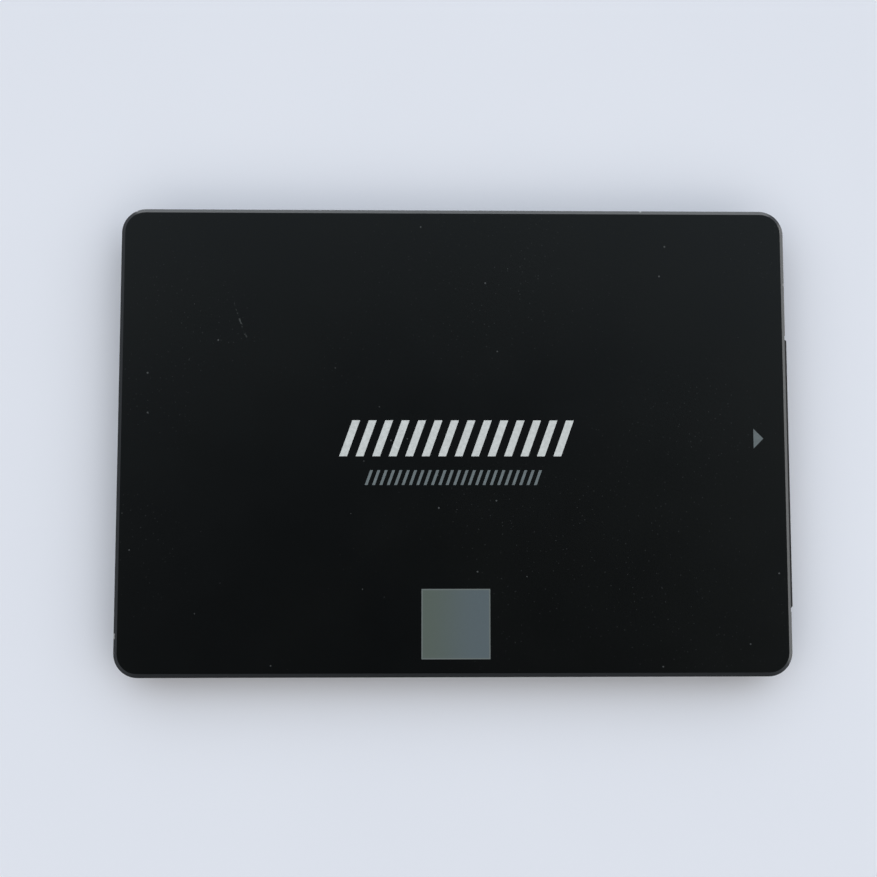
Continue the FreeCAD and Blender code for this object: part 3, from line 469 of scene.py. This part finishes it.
# Marks on the roof: middle, width and height, number of strokes and stroke width of the two rows, then
# the square, and the small triangle whose tip keeps a distance from the plug end.
STROKES = ((CASE_X + 0.36, 0.24), (34.9, 5.35), 14, 1.15)
FINE_STROKES = ((CASE_X - 0.14, -5.6), (26.3, 2.2), 24, 0.42)
STROKE_LEAN = 0.36
SQUARE_X = CASE_X + 0.19
SQUARE_Y = CASE_LOW.y + 7.81
SQUARE_HALF_X = 5.06
SQUARE_HALF_Y = 5.12
SQUARE_CORNER = 0.05
SQUARE_RIM = (-0.22, -0.12)
ARROW_TIP_X = CASE_HIGH.x - 3.84
ARROW_Y = 0.24
ARROW_LENGTH = 1.46
ARROW_HALF = 1.47

BRIGHT_INK = ink_look("ink_bright", (0.66, 0.695, 0.678), 0.5)
GREY_INK = ink_look("ink_grey", (0.143, 0.176, 0.182), 0.5)
ARROW_INK = ink_look("ink_arrow", (0.117, 0.144, 0.149), 0.5)
SQUARE_INK = square_look()


def roof_print(name, outlines, ink):
    """Printed marks on the roof, a thin layer of ink each."""
    mesh = bmesh.new()
    for outline in outlines:
        prism(mesh, outline, INK_BOTTOM, INK_TOP)
    new_piece(name, mesh, ink)


def slanted_row(middle, size, count, stroke):
    """Outlines of evenly spaced leaning strokes that fill a width."""
    width, height = size
    lean = height * STROKE_LEAN
    pitch = (width - lean - stroke) / (count - 1)
    low = middle[1] - height / 2
    high = low + height
    outlines = []
    for index in range(count):
        x = middle[0] - width / 2 + index * pitch
        outlines.append([(x, low), (x + stroke, low), (x + stroke + lean, high), (x + lean, high)])
    return outlines


def printed_marks():
    """Neutral print on the roof: two rows of leaning strokes, a square and a small triangle."""
    roof_print("printed_strokes", slanted_row(*STROKES), BRIGHT_INK)
    roof_print("printed_fine_strokes", slanted_row(*FINE_STROKES), GREY_INK)
    square = rounded_outline(SQUARE_X - SQUARE_HALF_X, SQUARE_X + SQUARE_HALF_X,
                             SQUARE_Y - SQUARE_HALF_Y, SQUARE_Y + SQUARE_HALF_Y, SQUARE_CORNER, 2)
    roof_print("printed_square", [square], SQUARE_INK)
    base = ARROW_TIP_X - ARROW_LENGTH
    arrow = [(base, ARROW_Y - ARROW_HALF), (ARROW_TIP_X, ARROW_Y), (base, ARROW_Y + ARROW_HALF)]
    roof_print("printed_arrow", [arrow], ARROW_INK)


# Thread ridge: radius at the wall and at the crest, half the width of its foot, pitch, how far below the
# mouth its middle starts, steps in one turn, and how deep the threads of each mount reach.
THREAD_LOOK = steel_look("thread_cut_aluminium", (0.30, 0.30, 0.31), 0.35, 10.0)
THREAD_WALL = 1.262
THREAD_CREST = 1.13
THREAD_HALF_FOOT = 0.17
THREAD_PITCH = 0.5
THREAD_START = 0.35
THREAD_STEPS = 40
THREAD_DEPTHS = {"bottom_threads": 3.1, "left_threads": 2.4, "right_threads": 2.4}


def thread(name, mouth, inward, depth):
    """Helical thread ridge on the wall of a mounting hole, from its mouth inwards."""
    turns = (depth - THREAD_START - THREAD_HALF_FOOT) / THREAD_PITCH
    side = inward.orthogonal().normalized()
    other = inward.cross(side)
    mesh = bmesh.new()
    rings = []
    for step in range(int(turns * THREAD_STEPS)):
        angle = 2 * math.pi * step / THREAD_STEPS
        out = side * math.cos(angle) + other * math.sin(angle)
        along = THREAD_START + THREAD_PITCH * step / THREAD_STEPS
        points = (out * THREAD_WALL + inward * (along - THREAD_HALF_FOOT),
                  out * THREAD_CREST + inward * along,
                  out * THREAD_WALL + inward * (along + THREAD_HALF_FOOT))
        rings.append([mesh.verts.new((mouth + point) * MM) for point in points])
    for first, second in zip(rings, rings[1:]):
        for index in range(3):
            following = (index + 1) % 3
            mesh.faces.new((first[index], first[following], second[following], second[index]))
    mesh.faces.new(rings[0])
    mesh.faces.new(rings[-1][::-1])
    new_piece(name, mesh, THREAD_LOOK)


def threads():
    """One ridge in each of the eight mounting holes, placed from the record's mounts."""
    mounts = {row["name"]: row for row in frame["record"]["mounts"]}
    for label, depth in THREAD_DEPTHS.items():
        mount = mounts[label]
        middle = Vector(mount["pos_m"]) * TO_MM
        inward = -Vector(mount["axis"])
        half_x = mount["dims"]["spacing_x_mm"] / 2
        half_y = mount["dims"].get("spacing_y_mm", 0.0) / 2
        rows = (-1, 1) if half_y else (0,)
        for i in (-1, 1):
            for j in rows:
                mouth = middle + Vector((i * half_x, j * half_y, 0.0))
                number = f"{'rear' if i < 0 else 'front'}{'' if not j else '_a' if j < 0 else '_b'}"
                thread(f"{label}_{number}", mouth, inward, depth)


# ---------------------------------------------------------------- rear label print


LABEL_DARK = ink_look("label_ink_dark", (0.03, 0.032, 0.035), 0.4)
LABEL_PALE = ink_look("label_ink_pale", (0.30, 0.31, 0.33), 0.45)

# Label print: the band along one long side, two groups of lines with their lengths, then a row of upright
# stripes with a row of patches over it, both starting STRIPE_ROW from the far margin.
LABEL_MARGIN = 2.4
BAND_HEIGHT = 6.5
LINE_HEIGHT = 1.3
LINE_PITCH = 3.1
UPPER_LINES = (27.0, 23.0, 25.5, 18.0)
UPPER_LINE_DROP = 14.0
LOWER_LINES = (21.0, 24.5, 16.0)
LOWER_LINE_RISE = 2.4
STRIPE_ROW = 24.0
STRIPE_RISE = 2.0
STRIPE_WIDTHS = (0.35, 0.7, 0.35, 1.05, 0.35, 0.35, 0.7, 0.35, 1.05, 0.7, 0.35, 0.7, 0.35, 1.05, 0.35, 0.7)
STRIPE_GAP = 0.42
STRIPE_HEIGHT = 7.5
PATCHES = 3
PATCH = 6.6
PATCH_PITCH = 8.2
PATCH_RISE = 14.0


def label_print():
    """Neutral print on the rear label: a band, plain lines, upright stripes and three patches."""
    low, high = box_mm("rear_label")
    dark = bmesh.new()
    pale = bmesh.new()

    def field(mesh, x_low, x_high, y_low, y_high, radius=0.3):
        outline = rounded_outline(low.x + x_low, low.x + x_high, low.y + y_low, low.y + y_high, radius, 4)
        prism(mesh, outline, low.z - INK_THICKNESS / 2, low.z + INK_THICKNESS / 2)

    width = high.x - low.x
    height = high.y - low.y
    right = width - LABEL_MARGIN
    top = height - LABEL_MARGIN
    field(dark, LABEL_MARGIN, right, top - BAND_HEIGHT, top, 0.8)
    for line, length in enumerate(UPPER_LINES):
        y = height - UPPER_LINE_DROP - line * LINE_PITCH
        field(pale, LABEL_MARGIN, LABEL_MARGIN + length, y, y + LINE_HEIGHT)
    for line, length in enumerate(LOWER_LINES):
        y = LABEL_MARGIN + LOWER_LINE_RISE + line * LINE_PITCH
        field(pale, LABEL_MARGIN, LABEL_MARGIN + length, y, y + LINE_HEIGHT)
    edge = right - STRIPE_ROW
    y = LABEL_MARGIN + STRIPE_RISE
    for stripe in STRIPE_WIDTHS * 2:
        if edge + stripe > right:
            break
        field(dark, edge, edge + stripe, y, y + STRIPE_HEIGHT, 0.02)
        edge += stripe + STRIPE_GAP
    y = LABEL_MARGIN + PATCH_RISE
    for column in range(PATCHES):
        x = right - STRIPE_ROW + column * PATCH_PITCH
        field(pale, x, x + PATCH, y, y + PATCH, 0.6)
    new_piece("label_print_dark", dark, LABEL_DARK)
    new_piece("label_print_pale", pale, LABEL_PALE)


# ---------------------------------------------------------------- stage


FLOOR_GAP = 0.02
FLOOR_HALF_METRES = 2.5


def floor():
    """Wide plane just under the drive."""
    half = FLOOR_HALF_METRES
    mesh = bmesh.new()
    corners = [(-half, -half), (half, -half), (half, half), (-half, half)]
    mesh.faces.new([mesh.verts.new((x, y, -FLOOR_GAP * MM)) for x, y in corners])
    data = bpy.data.meshes.new("floor")
    mesh.to_mesh(data)
    mesh.free()
    piece = bpy.data.objects.new("floor", data)
    bpy.context.scene.collection.objects.link(piece)
    data.materials.append(floor_look())


def softbox(name, place, size, watts, colour):
    """Rectangular lamp, its place and size in metres, aimed at the middle of the drive's underside."""
    lamp = bpy.data.lights.new(name, "AREA")
    lamp.shape = "RECTANGLE"
    lamp.size, lamp.size_y = size
    lamp.energy = watts
    lamp.color = colour
    holder = bpy.data.objects.new(name, lamp)
    holder.location = place
    holder.rotation_euler = (-Vector(place)).to_track_quat("-Z", "Y").to_euler()
    bpy.context.scene.collection.objects.link(holder)
    return holder


# Levels of the room's upper and lower walls, of its ceiling and of the plain backdrop that the camera
# sees, where the lower walls pass into the upper ones and these into the ceiling, as heights and as a
# cosine, and how far the walls brighten towards one side.
HIGH_LEVEL = 1.34
LOW_LEVEL = 0.36
CEILING_LEVEL = 0.02
BACKDROP_LEVEL = 0.72
WALL_PASSAGE = (0.25, 0.50)
CEILING_PASSAGE = (0.82, 0.96)
CEILING_MIDDLE = Vector((0.0, -0.22, 1.0)).normalized()
HIGH_LEAN = Vector((0.15, 0.18, 0.0))
LOW_LEAN = Vector((0.62, 0.62, 0.0))


def room():
    """Bright upper walls round a dark ceiling, over dimmer lower walls, brighter behind and right."""
    world = bpy.data.worlds.new("studio")
    world.use_nodes = True
    tree = world.node_tree
    sky = tree.nodes["Background"]

    def number(operation, first, second):
        made = tree.nodes.new("ShaderNodeMath")
        made.operation = operation
        for socket, source in zip(made.inputs, (first, second)):
            if isinstance(source, float):
                socket.default_value = source
            else:
                tree.links.new(source, socket)
        return made.outputs[0]

    def ramp(source, start, end, low, high):
        made = tree.nodes.new("ShaderNodeMapRange")
        made.interpolation_type = "SMOOTHSTEP"
        tree.links.new(source, made.inputs["Value"])
        for name, level in zip(("From Min", "From Max", "To Min", "To Max"), (start, end, low, high)):
            made.inputs[name].default_value = level
        return made.outputs["Result"]

    direction = tree.nodes.new("ShaderNodeTexCoord").outputs["Generated"]
    split = tree.nodes.new("ShaderNodeSeparateXYZ")
    tree.links.new(direction, split.inputs[0])

    def along(axis):
        made = tree.nodes.new("ShaderNodeVectorMath")
        made.operation = "DOT_PRODUCT"
        tree.links.new(direction, made.inputs[0])
        made.inputs[1].default_value = axis
        return made.outputs["Value"]

    high = ramp(split.outputs["Z"], *WALL_PASSAGE, 0.0, HIGH_LEVEL)
    high = number("MULTIPLY", high, ramp(along(CEILING_MIDDLE), *CEILING_PASSAGE, 1.0, CEILING_LEVEL))
    high = number("MULTIPLY", high, number("ADD", along(HIGH_LEAN), 1.0))
    low = ramp(split.outputs["Z"], *WALL_PASSAGE, LOW_LEVEL, 0.0)
    low = number("MULTIPLY", low, number("ADD", along(LOW_LEAN), 1.0))
    seen = tree.nodes.new("ShaderNodeLightPath").outputs["Is Camera Ray"]
    shown = tree.nodes.new("ShaderNodeMix")
    tree.links.new(seen, shown.inputs[0])
    tree.links.new(number("ADD", high, low), shown.inputs[2])
    shown.inputs[3].default_value = BACKDROP_LEVEL
    tree.links.new(shown.outputs[0], sky.inputs["Strength"])
    tint = tree.nodes.new("ShaderNodeMix")
    tint.data_type = "RGBA"
    tree.links.new(ramp(split.outputs["Y"], -0.7, 0.7, 0.0, 1.0), tint.inputs[0])
    tint.inputs[6].default_value = (1.0, 0.965, 0.93, 1.0)
    tint.inputs[7].default_value = (0.86, 0.92, 1.0, 1.0)
    tree.links.new(tint.outputs[2], sky.inputs["Color"])
    bpy.context.scene.world = world


def drive_pieces():
    """Collection of everything but the floor, for lamps that are to light the drive alone."""
    pieces = bpy.data.collections.new("drive_pieces")
    for item in bpy.context.scene.objects:
        if item.type == "MESH" and item.name != "floor":
            pieces.objects.link(item)
    return pieces


# Name, place and size in metres, watts and colour of each lamp. They stand below floor level, so that
# none of them glares on the roof in a low view.
LAMPS = (("window_right", (1.0, 0.08, -0.31), (1.0, 0.5), 3.6, (1.0, 0.99, 0.97)),
         ("window_back", (0.03, 1.0, -0.28), (1.3, 0.5), 5.6, (0.95, 0.97, 1.0)),
         ("underside", (0.10, -0.15, -0.60), (0.9, 0.9), 3.4, (1.0, 1.0, 1.0)))


def lights():
    """Soft lamps for the chamfers and the underside, which the floor doesn't block, and the room."""
    pieces = drive_pieces()
    for lamp in [softbox(*values) for values in LAMPS]:
        lamp.visible_camera = False
        lamp.light_linking.receiver_collection = pieces
        lamp.light_linking.blocker_collection = pieces
    room()
    bpy.context.scene.view_settings.view_transform = "Standard"


# Camera: place in millimetres, turns about x, y and z, lens and sensor in millimetres.
CAMERA_PLACE = Vector((-5.454, -12.991, 177.225))
CAMERA_DEGREES = (4.429, -1.004, -0.025)
FOCAL_LENGTH = 47.206
SENSOR_WIDTH = 36.0
CLIP_START_METRES = 0.005


def camera():
    """Nearly straight down, leaning a little towards the near long side."""
    lens = bpy.data.cameras.new("camera")
    lens.sensor_width = SENSOR_WIDTH
    lens.lens = FOCAL_LENGTH
    lens.clip_start = CLIP_START_METRES
    holder = bpy.data.objects.new("camera", lens)
    holder.location = CAMERA_PLACE * MM
    holder.rotation_euler = Euler([math.radians(angle) for angle in CAMERA_DEGREES])
    bpy.context.scene.collection.objects.link(holder)
    bpy.context.scene.camera = holder


camera()
dress_cad_nodes()
printed_marks()
threads()
label_print()
floor()
lights()
